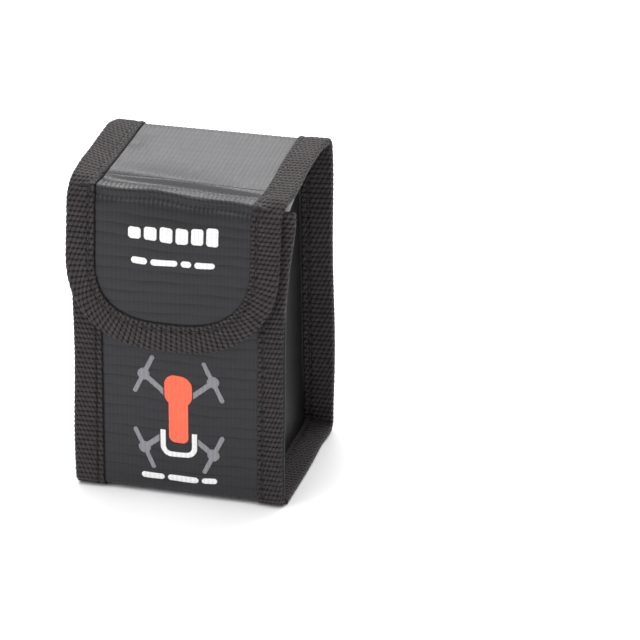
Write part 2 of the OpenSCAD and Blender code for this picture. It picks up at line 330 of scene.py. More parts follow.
def make_piece(name, points, faces, material, coords=None, caps=(), values=None):
    """A mesh object. coords are cloth coordinates for the material, and values a number per point."""
    mesh = bpy.data.meshes.new(name)
    mesh.from_pydata(points.reshape(-1, 3), [], faces.tolist() + list(caps))
    mesh.shade_smooth()
    for face in range(len(faces), len(faces) + len(caps)):
        mesh.polygons[face].use_smooth = False
    if coords is not None:
        add_values(mesh, "cloth", "FLOAT_VECTOR", "vector", coords)
    if values is not None:
        add_values(mesh, "height", "FLOAT", "value", values)
    mesh.materials.append(material)
    return add_object(name, mesh)


def make_shell(name, outer, inner, faces, material, coords, values=None):
    """A closed thin solid between two surfaces with the same faces."""
    outer, inner = outer.reshape(-1, 3), inner.reshape(-1, 3)
    count = len(outer)
    rim = rim_edges(faces)
    sides = np.stack([rim[:, 1], rim[:, 0], rim[:, 0] + count, rim[:, 1] + count], -1)
    every = np.concatenate([faces, faces[:, ::-1] + count, sides])
    coords = np.concatenate([coords, coords])
    if values is not None:
        values = np.concatenate([values, values])
    return make_piece(name, np.concatenate([outer, inner]), every, material, coords, values=values)


def fold_point(y, z):
    return (0, y * MM, z * MM)


# The body before each fold, and where the cloth starts and stops turning there
FOLDS = {
    "lid": ("bag", fold_point(BACK_FOLD[0] + 0.3, bag_h - 7), fold_point(BACK_FOLD[0] - 7, bag_h)),
    "flap": ("lid", fold_point(FRONT_FOLD[0] + 7.4, bag_h), fold_point(FRONT_FOLD[0], bag_h - 9)),
}


def settle(piece, node, body, rigid=False):
    """Hides the node that a finished piece stands for. On a body with a fold, unless rigid, the piece keeps
    its points where they are; otherwise it hangs on its body's empty.
    """
    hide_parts(node)
    if body in FOLDS and not rigid:
        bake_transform(piece)
    else:
        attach(piece, body)


# ---- materials
def new_material(name, **sockets):
    """A material with its Principled shader's own sockets set."""
    material = bpy.data.materials.new(name)
    material.use_nodes = True
    shader = material.node_tree.nodes["Principled BSDF"]
    for socket, value in sockets.items():
        shader.inputs[socket.replace("_", " ")].default_value = value
    return material, material.node_tree, shader


def add(tree, kind, **settings):
    """A new node. Each setting is an input's value or else one of the node's properties."""
    node = tree.nodes.new("ShaderNode" + kind)
    for name, value in settings.items():
        if name in node.inputs:
            node.inputs[name].default_value = value
        else:
            setattr(node, name, value)
    return node


def math_node(tree, operation, *values):
    node = add(tree, "Math", operation=operation)
    for socket, value in zip(node.inputs, values):
        if isinstance(value, (int, float)):
            socket.default_value = value
        else:
            tree.links.new(value, socket)
    return node.outputs[0]


def plus(tree, a, b):
    return math_node(tree, "ADD", a, b)


def times(tree, a, b):
    return math_node(tree, "MULTIPLY", a, b)


def cloth_axes(tree):
    """The cloth's own coordinates in millimetres, as a vector, then across and along."""
    vector = add(tree, "Attribute", attribute_name="cloth").outputs["Vector"]
    split = add(tree, "SeparateXYZ")
    tree.links.new(vector, split.inputs[0])
    return vector, split.outputs[0], split.outputs[1]


def point_value(tree):
    """The number that make_piece stored for each point."""
    return add(tree, "Attribute", attribute_name="height").outputs["Fac"]


def wave(tree, axis, pitch):
    """A cosine along one axis, from 0 to 1."""
    cosine = math_node(tree, "COSINE", times(tree, axis, 2 * math.pi / pitch))
    return times(tree, plus(tree, cosine, 1.0), 0.5)


def noise(tree, vector, scale, detail=3.0):
    node = add(tree, "TexNoise", Scale=scale, Detail=detail)
    tree.links.new(vector, node.inputs["Vector"])
    return node.outputs["Fac"]


def ramp(tree, factor, stops):
    """A colour ramp with (position, colour) stops."""
    node = add(tree, "ValToRGB")
    elements = node.color_ramp.elements
    while len(elements) < len(stops):
        elements.new(0.5)
    for element, (position, colour) in zip(elements, stops):
        element.position = position
        element.color = (*colour, 1)
    tree.links.new(factor, node.inputs["Fac"])
    return node.outputs["Color"]


def to_range(tree, value, lowest, highest):
    """Turns a value from 0 to 1 into one from lowest to highest."""
    node = add(tree, "MapRange", **{"To Min": lowest, "To Max": highest})
    tree.links.new(value, node.inputs["Value"])
    return node.outputs["Result"]


def bump(tree, shader, height, depth):
    """Bump of a given depth in millimetres."""
    node = add(tree, "Bump", Strength=1.0, Distance=depth * MM)
    tree.links.new(height, node.inputs["Height"])
    tree.links.new(node.outputs["Normal"], shader.inputs["Normal"])


def coated_cloth(name, base, roughness, specular, shaded):
    """Black cloth with a glossy coat: fine threads, random tone, and painted shade where the point value is
    low: dark lines in the grooves and between the ribs.
    """
    material, tree, shader = new_material(name, Roughness=roughness, IOR=1.5, Specular_IOR_Level=specular)
    vector, across, along = cloth_axes(tree)
    ribs = wave(tree, across, RIB_PITCH / 2)
    picks = wave(tree, along, GROOVE_PITCH / 7)
    threads = plus(tree, times(tree, ribs, 0.6), times(tree, picks, 0.4))
    uneven = noise(tree, vector, 0.22)
    grain = noise(tree, vector, 3.0)
    bump(tree, shader, plus(tree, threads, times(tree, grain, 0.5)), 0.04)
    # The point value paints shade into the colour, in the grooves and between the ribs.
    shade = times(tree, to_range(tree, uneven, 0.75, 1.25), point_value(tree)) if shaded else uneven
    stops = [(0.15, (0.003, 0.003, 0.0035)), (1.0, tuple(c * 1.35 for c in base))]
    tree.links.new(ramp(tree, shade, stops), shader.inputs["Base Color"])
    tree.links.new(to_range(tree, grain, roughness - 0.06, roughness + 0.1), shader.inputs["Roughness"])
    return material


def woven_tape(name, deep, crest):
    """Coarse polypropylene tape with fine yarns: painted shade, dark between its beads, and a painted
    highlight, lighter on the crests, with random speckle.
    """
    material, tree, shader = new_material(
        name, Roughness=0.5, IOR=1.5, Specular_IOR_Level=0.26,
        Sheen_Weight=0.05, Sheen_Roughness=0.4, Sheen_Tint=(0.9, 0.82, 0.78, 1))
    vector, across, along = cloth_axes(tree)
    patchy = noise(tree, vector, 0.35)
    speckle = noise(tree, vector, 2.6, 4.0)
    shade = times(tree, point_value(tree), to_range(tree, speckle, 0.0, 1.5))
    shade = times(tree, shade, to_range(tree, patchy, 0.7, 1.3))
    # The ramp paints shade between the beads and a highlight on their crests.
    middle = tuple((a + b) / 2 for a, b in zip(deep, crest))
    colour = ramp(tree, shade, [(0.3, deep), (0.62, middle), (1.0, crest)])
    tree.links.new(colour, shader.inputs["Base Color"])
    yarns = wave(tree, plus(tree, across, times(tree, along, 0.35)), 0.42)
    bump(tree, shader, plus(tree, yarns, times(tree, speckle, 0.8)), 0.14)
    tree.links.new(to_range(tree, speckle, 0.8, 0.24), shader.inputs["Roughness"])
    return material


def glass_cloth(name):
    """Light grey glass-fibre lining in a plain weave."""
    material, tree, shader = new_material(name, Roughness=0.62, IOR=1.5)
    vector, across, along = cloth_axes(tree)
    warp, weft = (wave(tree, axis, GLASS_PITCH) for axis in (across, along))
    over = math_node(tree, "ABSOLUTE", math_node(tree, "SUBTRACT", warp, weft))
    shade = times(tree, over, to_range(tree, noise(tree, vector, 1.2), 0.6, 1.2))
    colour = ramp(tree, shade, [(0.0, (0.17, 0.17, 0.175)), (1.0, (0.33, 0.33, 0.325))])
    tree.links.new(colour, shader.inputs["Base Color"])
    bump(tree, shader, over, 0.12)
    return material


def fibre(name, base, roughness, fleck_scale=2.0, depth=0.08):
    """A plain fibre or plastic with flecks, for threads, loops and hooks."""
    material, tree, shader = new_material(name, Roughness=roughness, IOR=1.5)
    vector = add(tree, "NewGeometry").outputs["Position"]
    fleck = noise(tree, vector, fleck_scale / MM)
    dark, light = (tuple(c * share for c in base) for share in (0.6, 1.5))
    tree.links.new(ramp(tree, fleck, [(0.3, dark), (0.7, light)]), shader.inputs["Base Color"])
    bump(tree, shader, fleck, depth)
    tree.links.new(to_range(tree, fleck, roughness - 0.1, roughness + 0.12), shader.inputs["Roughness"])
    return material


def ink(name, base):
    """Screen print, thin enough that the cloth's threads show through."""
    material, tree, shader = new_material(name, Roughness=0.55, IOR=1.45)
    vector, across, _ = cloth_axes(tree)
    worn = noise(tree, vector, 1.5, 5.0)
    shade = plus(tree, times(tree, wave(tree, across, RIB_PITCH), 0.3), times(tree, worn, 0.7))
    thin = tuple(c * 0.82 for c in base)
    tree.links.new(ramp(tree, shade, [(0.25, thin), (0.55, base)]), shader.inputs["Base Color"])
    bump(tree, shader, shade, 0.05)
    return material


CLOTH = coated_cloth("coated_cloth", (0.011, 0.011, 0.0135), 0.34, 0.36, shaded=True)
SIDE_CLOTH = coated_cloth("side_cloth", (0.010, 0.010, 0.011), 0.42, 0.3, shaded=False)
TAPE = woven_tape("woven_tape", (0.001, 0.001, 0.001), (0.082, 0.068, 0.07))
GLASS = glass_cloth("glass_cloth")
THREAD = fibre("thread", (0.016, 0.015, 0.015), 0.4)
NARROW_TAPE = woven_tape("narrow_tape", (0.004, 0.0035, 0.0035), (0.04, 0.034, 0.032))
LOOP_FIBRE = fibre("loop_pile", (0.014, 0.014, 0.014), 0.7, 3.0)
HOOK_PLASTIC = fibre("hook_plastic", (0.02, 0.02, 0.02), 0.35, 1.0, 0.02)
INKS = {
    "white_ink": ink("white_ink", (0.86, 0.86, 0.86)),
    "orange_ink": ink("orange_ink", (1.0, 0.15, 0.075)),
    "grey_ink": ink("grey_ink", (0.24, 0.24, 0.26)),
}


# ---- coated cloth
def groove_wave(x, s, first, last):
    """How far the ripstop grooves wander along the strip. Nothing at the cut ends."""
    ends = smooth((s - first) / 6) * smooth((last - s) / 6)
    return ends * (0.32 * np.sin(x / 7.5 + s / 21) + 0.14 * np.sin(x / 2.9 + s / 3.1))


def fold_share(s):
    """Where the cloth is folded tightly: 1 on the front fold, less on the back fold."""
    return hill(s, MARK.lid_front + 5, 5.5) + 0.5 * hill(s, MARK.lid_back - 3, 5)


def lid_share(s):
    return smooth((s - MARK.lid_back + 6) / 8) * smooth((MARK.lid_front + 9 - s) / 8)


def rib_gap(x):
    """1 in the narrow gaps between the cloth's ribs, 0 on the ribs."""
    return (0.5 - 0.5 * np.cos(2 * math.pi * x / RIB_PITCH)) ** 3


def cloth_relief(x, s, phase):
    """Grooves across the strip and ribs along it. The lid is stretched: there the ribs stand out."""
    row = np.round(phase)
    groove = hill((phase - row) * GROOVE_PITCH, 0, 0.4) * (0.75 + 0.25 * np.sin(x / 5.3 + 2.1 * row))
    ribbed = 0.04 + 0.3 * fold_share(s) + 0.05 * lid_share(s)
    return -0.13 * groove * (1 - 0.85 * lid_share(s)) - ribbed * rib_gap(x)


def cloth_shade(x, s, phase):
    """Painted shade for the material: 0 in the grooves and between the ribs, where it is darker on the
    folds, up to 1 on the plain cloth.
    """
    row = np.round(phase)
    groove = hill((phase - row) * GROOVE_PITCH, 0, 0.3) * (0.7 + 0.3 * np.sin(x / 5.3 + 2.1 * row))
    ribbed = 0.25 + 0.5 * fold_share(s)
    return (1 - 0.85 * groove * (1 - 0.8 * lid_share(s))) * (1 - ribbed * rib_gap(x))


def groove_rows(first, last, plain=None):
    """Row places, close together at each groove. Between the two plain marks they are far apart."""
    rows = [first, last]
    for k in range(int(first / GROOVE_PITCH) - 1, int(last / GROOVE_PITCH) + 2):
        for share in (-0.13, 0.0, 0.13, 0.38, 0.62):
            rows.append((k + share) * GROOVE_PITCH)
    rows = np.array([r for r in rows if first <= r <= last])
    if plain:
        keep = (rows < plain[0]) | (rows > plain[1])
        rows = np.concatenate([rows[keep], np.arange(plain[0], plain[1], 2.5)])
    rows = np.unique(np.round(rows, 4))
    return rows[np.concatenate([[True], np.diff(rows) > 0.12])]


def cloth_columns():
    """Column places: four to a rib where the cloth shows, a few under the tapes."""
    count = int((SIDE_X + 0.6) / (RIB_PITCH / 4))
    shown = np.arange(-count, count + 1) * RIB_PITCH / 4
    hidden = np.array([31.5, 35.0, HALF_W - TAPE_T - 0.05])
    return np.concatenate([-hidden[::-1], shown, hidden])


def cloth_sheet(name, flat, faces, span, node, body):
    """A stretch of coated cloth, from the flat points [x, along] and faces of the span between two marks."""
    x, rows = flat
    s = rows - groove_wave(x, rows, *span)
    phase = rows / GROOVE_PITCH
    outer = place(x, s, -TAPE_T + cloth_relief(x, s, phase))
    inner = place(x, s, CLOTH_BACK)
    shade = cloth_shade(x, s, phase)
    piece = make_shell(name, outer, inner, faces[:, ::-1], CLOTH, cloth_coords(x, rows), shade.ravel())
    settle(piece, node, body)


def lining_sheet(name, flat, faces, depth, node, body):
    """A stretch of lining. depth is that of its outer face."""
    outer, inner = place(*flat, depth), place(*flat, CLOTH_BACK - LINING_T)
    piece = make_shell(name, outer, inner, faces[:, ::-1], GLASS, cloth_coords(*flat))
    settle(piece, node, body)


def straight_cloth(name, span, node, body, plain=None):
    flat = np.meshgrid(cloth_columns(), groove_rows(*span, plain))
    cloth_sheet(name, flat, grid_faces(*flat[0].shape), span, node, body)


def straight_lining(name, span, half, node, body):
    length = span[1] - span[0]
    flat = np.meshgrid(np.linspace(-half, half, 60), np.linspace(*span, int(length / 1.2)))
    lining_sheet(name, flat, grid_faces(*flat[0].shape), CLOTH_BACK - 0.02, node, body)


def lining_corner():
    """The lid's lining peeps out under the right tape at the front fold."""
    first, last, deepest = MARK.lid_front - 9, MARK.lid_front + 6, 4.6
    s, share = np.meshgrid(np.linspace(first, last, 30), np.linspace(0, 1, 10))
    hang = share * deepest * smooth((s - first) / 12)
    x = HALF_W - 1.2 + 0.9 * np.sin(share * 2.2)
    outer, inner = place(x, s, CLOTH_BACK - hang), place(x - LINING_T, s, CLOTH_BACK - hang)
    faces = grid_faces(*s.shape)
    piece = make_shell("lining_corner", outer, inner, faces, GLASS, cloth_coords(s, hang))
    settle(piece, "flap_lining", "flap")


# ---- shapes cut out of flat cloth
def cut_grid(xs, vs, distance):
    """The part of a flat grid where distance is below 0. Points near the outline are moved onto it."""
    x, v = np.meshgrid(xs, vs)
    cell = xs[1] - xs[0]
    for _ in range(2):
        gap = distance(x, v)
        near = np.abs(gap) < 0.6 * cell
        step = 0.01
        slope_x = (distance(x + step, v) - distance(x - step, v)) / (2 * step)
        slope_v = (distance(x, v + step) - distance(x, v - step)) / (2 * step)
        size = np.maximum(slope_x ** 2 + slope_v ** 2, 0.2)
        x = np.where(near, x - gap * slope_x / size, x)
        v = np.where(near, v - gap * slope_v / size, v)
    faces = grid_faces(*x.shape)
    x, v = x.ravel(), v.ravel()
    inside = distance(x, v) < 0.12 * cell
    middle = distance(x[faces].mean(1), v[faces].mean(1)) < -0.12 * cell
    faces = faces[inside[faces].all(1) & middle]
    used, faces = np.unique(faces, return_inverse=True)
    return x[used], v[used], faces.reshape(-1, 4)


def flap_distance(inset):
    """Rough distance outside the flap's outline, moved inward. x across and v down from the fold."""
    wide, deep = HALF_W - inset, flap_l - FLAP_SIDE - inset

    def distance(x, v):
        across = np.abs(x) / wide
        down = np.clip(v - FLAP_SIDE, 0, None) / deep
        value = (across ** FLAP_POWER + down ** FLAP_POWER) ** (1 / FLAP_POWER)
        slope = np.hypot(across / wide, down / deep) / np.maximum(np.hypot(across, down), 1e-6)
        return (value - 1) / np.maximum(slope, 1e-6)

    return distance


def build_flap():
    """The flap's cloth goes on under its tape, and its lining stops soon after the tape's inner edge."""
    span = (MARK.split_front, MARK.fold + flap_l)
    x, v, faces = cut_grid(cloth_columns(), groove_rows(*span) - MARK.fold, flap_distance(TAPE_T + 0.3))
    flat = (x, v + MARK.fold)
    cloth_sheet("flap_cloth", flat, faces, span, "flap_panel", "flap")
    inset = TAPE_W - UNDER_TAPE
    step = 0.6
    rows = np.arange(span[0], span[1] + step, step) - MARK.fold
    x, v, faces = cut_grid(np.arange(-HALF_W, HALF_W + step, step), rows, flap_distance(inset))
    flat = (x, v + MARK.fold)
    lining_sheet("flap_lining_cloth", flat, faces, CLOTH_BACK - 0.2, "flap_lining", "flap")


# ---- woven tapes
# A tape's width, thickness, height of its face above the seam's, relief and scale of its weave, step
# between its points, depth of its stitch line and material
Tape = namedtuple("Tape", "width thick top relief weave step seam material")
WIDE = Tape(TAPE_W, TAPE_T, 0.0, BEAD_H, 1.0, 0.27, 1.0, TAPE)
FRONT_MOUTH = Tape(MOUTH_H, MOUTH_T, MOUTH_T - TAPE_T, 0.12, 0.5, 0.3, 0.0, NARROW_TAPE)
SIDE_MOUTH = FRONT_MOUTH._replace(top=MOUTH_T)


def beads(a, b):
    """Height of the weave, 0 to 1: rows across the tape, their beads laid like bricks."""
    row = np.floor(a / ROW_PITCH)
    along = 2 * (a / ROW_PITCH - row) - 1
    uneven = 0.12 * np.sin(12.9898 * row) + 0.1 * np.sin(b / 3.1 + row)
    shift = 0.5 * (row % 2) + 0.26 * along + uneven
    across = 2 * ((b / BEAD_PITCH + shift) % 1) - 1
    round_top = np.clip(1 - 0.8 * along ** 2 - 0.62 * across ** 2, 0, 1)
    return np.sqrt(round_top)


def tape_section(kind, depth):
    """Round a folded tape, as rows of [inward u, depth d, normal u, normal d, across, woven]."""
    r = min(1.15, depth / 2 - 0.05)
    legs = int((kind.width - r) / kind.step)
    turn = np.radians(np.linspace(90, 180, 7))[1:]
    rows = [(u, 0, 0, 1) for u in np.linspace(kind.width, r, legs)]
    rows += [(r + r * math.cos(a), r * math.sin(a) - r, math.cos(a), math.sin(a)) for a in turn]
    turn = turn + math.pi / 2
    rows += [(r + r * math.cos(a), r * math.sin(a) + r - depth, math.cos(a), math.sin(a)) for a in turn]
    rows += [(u, -depth, 0, -1) for u in np.linspace(r, kind.width, legs)[1:]]
    rows = np.array(rows, float)
    across = travelled(rows)
    woven = smooth(np.minimum(across, across[-1] - across) / 0.5 + 0.15)
    outer = np.column_stack([rows, across, woven])
    low_d, high_d, nose = kind.thick - depth, -kind.thick, kind.thick + 0.1
    inside = [(kind.width, low_d), (nose, low_d), (nose, high_d), (kind.width, high_d)]
    inner = np.array([(u, d, 0, 0, 0, 0) for u, d in inside])
    return np.concatenate([outer, inner])


def tape_mesh(name, path, depth, kind, placer=place):
    """A folded tape along a path of flat [x, s, inward x, inward s, along]."""
    section = tape_section(kind, depth)
    u, d, nu, nd, across, woven = section.T
    edge_x, edge_s, in_x, in_s, along = path.T[:, :, None]
    height = beads((along + 0 * across) / kind.weave, (across + 0 * along) / kind.weave) * woven
    seam = kind.seam * hill(u, kind.width - SEAM_INSET, 0.55) * (np.abs(nd) > 0.9)
    crest = (kind.relief * (height - 1) - 0.3 * seam) * (woven > 0)
    ru, rd = u + nu * crest, d + nd * crest + kind.top
    s = edge_s + in_s * ru
    points = placer(edge_x + in_x * ru, s, rd + 0 * s)
    columns = len(section)
    faces = grid_faces(len(path), columns, closed=True)
    caps = end_caps(0, len(path) * columns, columns)
    forward = path[1, :2] - path[0, :2]
    if forward[0] * path[0, 3] - forward[1] * path[0, 2] > 0:
        faces, caps = flipped(faces, caps)
    # Point values for painted light: low, as painted shade, between the beads, near the tape's edges and
    # along the stitch line; high, as a painted highlight, on the crests.
    shaded = np.where(woven > 0, height * (1 - 0.4 * seam), 0.1)
    return make_piece(name, points, faces, kind.material, cloth_coords(across, along), caps, shaded)


def edge_path(sign, first, last, step=0.31):
    """Straight along the strip's left (-1) or right (1) edge."""
    s = np.linspace(first, last, max(int((last - first) / step), 2))
    flat = np.full_like(s, sign * HALF_W)
    return np.column_stack([flat, s, np.full_like(s, -sign), 0 * s, s])


def flap_path(step=0.31):
    """Along the flap's edge, from its right side round the end to its left side."""
    t = np.linspace(0, math.pi, 1200)
    cos, sin = np.cos(t), np.sin(t)
    drop = flap_l - FLAP_SIDE
    share = 2 / FLAP_POWER
    x = HALF_W * np.sign(cos) * np.abs(cos) ** share
    v = FLAP_SIDE + drop * sin ** share
    nx = -np.sign(cos) * np.abs(cos) ** (2 - share) / HALF_W
    nv = -(sin ** (2 - share)) / drop
    size = np.hypot(nx, nv)
    round_end = np.column_stack([x, v, nx / size, nv / size])
    start = MARK.split_front - MARK.fold
    lengths = np.linspace(start, FLAP_SIDE, 60)[:-1]
    right = np.column_stack([0 * lengths + HALF_W, lengths, 0 * lengths - 1, 0 * lengths])
    left = right[::-1] * [-1, 1, -1, 1]
    every = np.concatenate([right, round_end, left])
    edge_len = travelled(every)
    middle_len = travelled(every[:, :2] + every[:, 2:] * TAPE_W / 2)
    places = np.linspace(0, edge_len[-1], int(edge_len[-1] / step))
    x, v, nx, nv = (np.interp(places, edge_len, every[:, k]) for k in range(4))
    along = np.interp(places, edge_len, middle_len)
    pairs = round(middle_len[-1] / (2 * ROW_PITCH))
    along = along * pairs * 2 * ROW_PITCH / middle_len[-1] + MARK.split_front
    size = np.hypot(nx, nv)
    return np.column_stack([x, v + MARK.fold, nx / size, nv / size, along])


# ---- thread
def stitches(name, lines, radius=0.3, length=2.7):
    """Rows of single stitches, one to a pitch. A line is (flat points, depth)."""
    rings, sides = 7, 6
    along = np.linspace(-0.5, 0.5, rings) * length
    fat = radius * np.sqrt(np.clip(1 - (2 * along / (length + 0.12)) ** 4, 0.05, 1))
    turn = np.linspace(0, 2 * math.pi, sides, endpoint=False)
    points, faces, caps, offset = [], [], [], 0
    for flat, depth in lines:
        lengths = travelled(flat)
        for middle in np.arange(STITCH_PITCH / 2, lengths[-1] - STITCH_PITCH / 3, STITCH_PITCH):
            at = middle + along
            x, s = (np.interp(at, lengths, flat[:, k]) for k in range(2))
            tx, ts = np.gradient(x), np.gradient(s)
            size = np.maximum(np.hypot(tx, ts), 1e-9)
            sink = -0.28 * (2 * along / length) ** 4
            side = fat[:, None] * np.cos(turn)
            out = 0.75 * fat[:, None] * np.sin(turn) + depth + sink[:, None] * np.sign(depth + 1)
            px = x[:, None] - (ts / size)[:, None] * side
            ps = s[:, None] + (tx / size)[:, None] * side
            points.append(place(px, ps, out).reshape(-1, 3))
            faces.append(grid_faces(rings, sides, closed=True) + offset)
            caps += end_caps(offset, rings * sides, sides)
            offset += rings * sides
    return make_piece(name, np.concatenate(points), np.concatenate(faces), THREAD, caps=caps)


def seam_lines(path, depth):
    """The stitch line on a tape's two legs."""
    u = TAPE_W - SEAM_INSET
    flat = path[:, :2] + path[:, 2:4] * u
    return [(flat, -STITCH_SUNK), (flat, -depth + STITCH_SUNK)]


# ---- side panels
SIDE_FRONT = MARK.bottom_front - BOTTOM_R * math.pi / 4  # the middles of the bottom's two folds
SIDE_BACK = MARK.bottom_back + BOTTOM_R * math.pi / 4
SIDE_TOP = MARK.split_back + (BODY_TOP - SPLIT_Z) / math.cos(lean)
SIDE_ROWS, SIDE_COLUMNS = 90, 48
TURN_R = 1.1  # radius of the bend where the side's cloth turns out into the seam


def run_yz(s, d):
    """The [y, z] of points at depth d, before the cloth sags."""
    y, z, angle = on_run(s)
    return np.stack([y + d * np.cos(angle), z + d * np.sin(angle)], -1)


def coons(left, right, bottom, top):
    """A grid of points inside four edges. left and right run upward, bottom and top from left to right."""
    rows, columns = len(left), len(bottom)
    v = np.linspace(0, 1, rows)[:, None, None]
    w = np.linspace(0, 1, columns)[None, :, None]
    ruled = (1 - w) * left[:, None] + w * right[:, None] + (1 - v) * bottom[None] + v * top[None]
    corners = (1 - v) * ((1 - w) * bottom[0] + w * bottom[-1]) + v * ((1 - w) * top[0] + w * top[-1])
    return ruled - corners


def side_sink(y, z):
    """How far a side panel hangs inward between its seams."""
    across = np.clip(1 - (y / (back_y(z) - 1)) ** 2, 0, 1)
    up = smooth(z / 34)
    return across ** 0.8 * up * (1.9 + 0.35 * np.sin(z / 17 + y / 23))


def side_edges(depth):
    """The four edges of a side between its seams, as [y, z] points: left, right, bottom and top."""
    left = run_yz(np.linspace(SIDE_FRONT, 0, SIDE_ROWS), depth)
    right = run_yz_back(np.linspace(SIDE_BACK, SIDE_TOP, SIDE_ROWS), depth)
    bottom = run_yz(np.linspace(SIDE_FRONT, SIDE_BACK, SIDE_COLUMNS), depth)
    return left, right, bottom, np.linspace(left[-1], right[-1], SIDE_COLUMNS)


def turned_edge(plane, edge_d, seam_d):
    """The side cloth's edge, from the patch's rim round a small bend and out into the seam."""
    rows, columns = SIDE_ROWS, SIDE_COLUMNS
    ring = [r * columns for r in range(rows - 1, 0, -1)] + list(range(columns))
    ring = np.array(ring + [r * columns + columns - 1 for r in range(1, rows)])
    s = np.concatenate([
        np.linspace(SIDE_FRONT, 0, rows)[::-1][:-1],
        np.linspace(SIDE_FRONT, SIDE_BACK, columns),
        np.linspace(SIDE_BACK, SIDE_TOP, rows)[1:],
    ])
    turn = np.radians([30, 60, 90])
    steps = [(plane + TURN_R * (1 - math.cos(a)), edge_d + TURN_R * math.sin(a)) for a in turn]
    steps += [(w, seam_d) for w in np.linspace(plane + TURN_R, HALF_W - TAPE_T - 0.2, 6)[1:]]
    points, faces, start = [], [], rows * columns
    for x, depth in steps:
        points.append(np.column_stack([0 * s + x, run_yz_back(s, depth)]))
        new = start + np.arange(len(ring))
        faces.append(np.stack([ring[:-1], new[:-1], new[1:], ring[1:]], -1))
        ring = new
        start += len(ring)
    return points, faces


def side_piece(side, sign, lining):
    """A side panel with its turned-out edge, or its lining, which stops at the seam."""
    thick = LINING_T if lining else PANEL_T
    plane = SIDE_X - PANEL_T / 2 - (0.5 * (PANEL_T + LINING_T) + 0.02 if lining else 0)
    seam_d = -TAPE_T - 1.5 * PANEL_T
    edge_d = seam_d - TURN_R
    y, z = np.moveaxis(coons(*side_edges(edge_d)), -1, 0)
    points = [np.stack([plane - side_sink(y, z), y, z], -1).reshape(-1, 3)]
    faces = [grid_faces(SIDE_ROWS, SIDE_COLUMNS)]
    if not lining:
        more_points, more_faces = turned_edge(plane, edge_d, seam_d)
        points += more_points
        faces += more_faces
    points, faces = np.concatenate(points), np.concatenate(faces)
    points = follow_fins(points, sign)
    half = point_normals(points, faces) * sign * thick / 2
    if sign < 0:
        faces = faces[:, ::-1]
    outer, inner = (points + half) * MM, (points - half) * MM
    coords = points[:, [1, 2, 0]]
    if lining:
        piece = make_shell(f"{side}_side_lining_cloth", outer, inner, faces, GLASS, coords)
        settle(piece, f"{side}_side_lining", "bag")
    else:
        piece = make_shell(f"{side}_side_cloth", outer, inner, faces, SIDE_CLOTH, coords)
        settle(piece, f"{side}_side_panel", "bag")


def run_yz_back(s, d):
    """As run_yz, but the back goes on straight to the mouth and doesn't follow the lid's fold."""
    s = np.asarray(s, float)
    past = np.clip(s - MARK.split_back, 0, None)
    yz = run_yz(np.minimum(s, MARK.split_back), d)
    return yz + past[:, None] * np.array([-math.sin(lean), math.cos(lean)])


def follow_fins(points, sign):
    """Moves a side's points the way that the fins they are sewn into are bent, and mirrors the left side."""
    x, y, z = points.T
    at_back = y > 0
    s = np.where(at_back, MARK.bottom_back + 20, 1.0)
    in_fin = np.abs(y) > back_y(z) - 4
    move = np.where(in_fin, fin_splay(sign * x, s, z), 0)
    return np.column_stack(stand(sign * x, y + np.where(at_back, move, -move), z))


def point_normals(points, faces):
    a, b, c, d = (points[faces[:, k]] for k in range(4))
    flat = np.cross(c - a, d - b)
    normals = np.zeros_like(points)
    for k in range(4):
        np.add.at(normals, faces[:, k], flat)
    return normals / np.maximum(np.linalg.norm(normals, axis=1), 1e-12)[:, None]


# ---- prints
def box_shape(cx, cv, width, height, r):
    def distance(x, v):
        qx = np.abs(x - cx) - width / 2 + r
        qv = np.abs(v - cv) - height / 2 + r
        outside = np.hypot(np.clip(qx, 0, None), np.clip(qv, 0, None))
        return outside + np.minimum(np.maximum(qx, qv), 0) - r

    return distance


def pill_shape(ax, av, bx, bv, radius):
    w, h = bx - ax, bv - av

    def distance(x, v):
        px, pv = x - ax, v - av
        t = np.clip((px * w + pv * h) / (w ** 2 + h ** 2), 0, 1)
        return np.hypot(px - t * w, pv - t * h) - radius

    return distance


def joined(*shapes):
    return lambda x, v: np.minimum.reduce([shape(x, v) for shape in shapes])


def without(shape, *holes):
    return lambda x, v: np.maximum.reduce([shape(x, v)] + [-hole(x, v) for hole in holes])


def grown(shape, by):
    return lambda x, v: shape(x, v) - by


def along_run(z, body):
    """The run's length at height z, on the front or on the flap."""
    if body == "bag":
        return (BODY_TOP - z) / math.cos(lean)
    return MARK.fold + (bag_h - z) / math.cos(lean)


def print_piece(name, node, shape, half, z, colour, body):
    """Ink in a flat shape, whose box is half its size each way round height z. v is up on the front only."""
    step = 0.22
    xs, vs = (np.arange(-reach - step, reach + 2 * step, step) for reach in half)
    x, v, faces = cut_grid(xs, vs, shape)
    if body == "bag":
        first, last = 0, MARK.split_back
        rows = along_run(z, body) - v
    else:
        first, last = MARK.split_front, MARK.fold + flap_l
        rows = v + along_run(z, body)
        faces = faces[:, ::-1]
    s = rows - groove_wave(x, rows, first, last)
    relief = cloth_relief(x, s, rows / GROOVE_PITCH)
    outer, inner = place(x, s, relief - TAPE_T + INK_TOP), place(x, s, relief - TAPE_T + 0.01)
    piece = make_shell(name, outer, inner, faces, INKS[colour], cloth_coords(x, rows))
    settle(piece, node, body, rigid=True)


def bars(width, height, groups):
    """A row of bars with round ends, where a line of print would be."""
    gap = height * 0.55
    unit = (width - gap * (len(groups) - 1)) / sum(groups)
    shapes, x = [], -width / 2
    for share in groups:
        end = x + share * unit
        shapes.append(pill_shape(x + height / 2, 0, end - height / 2, 0, height / 2))
        x = end + gap
    return joined(*shapes)


def print_box(node):
    """A print's width and height and its middle's height above the floor, from its CAD node."""
    (left, _, bottom), (right, _, top) = low(node), high(node)
    return right - left, top - bottom, 0.5 * (bottom + top)


def caption(name, groups, body):
    node = f"{name}_print"
    width, height, middle = print_box(node)
    print_piece(name, node, bars(width, height, groups), (width / 2, height), middle, "white_ink", body)


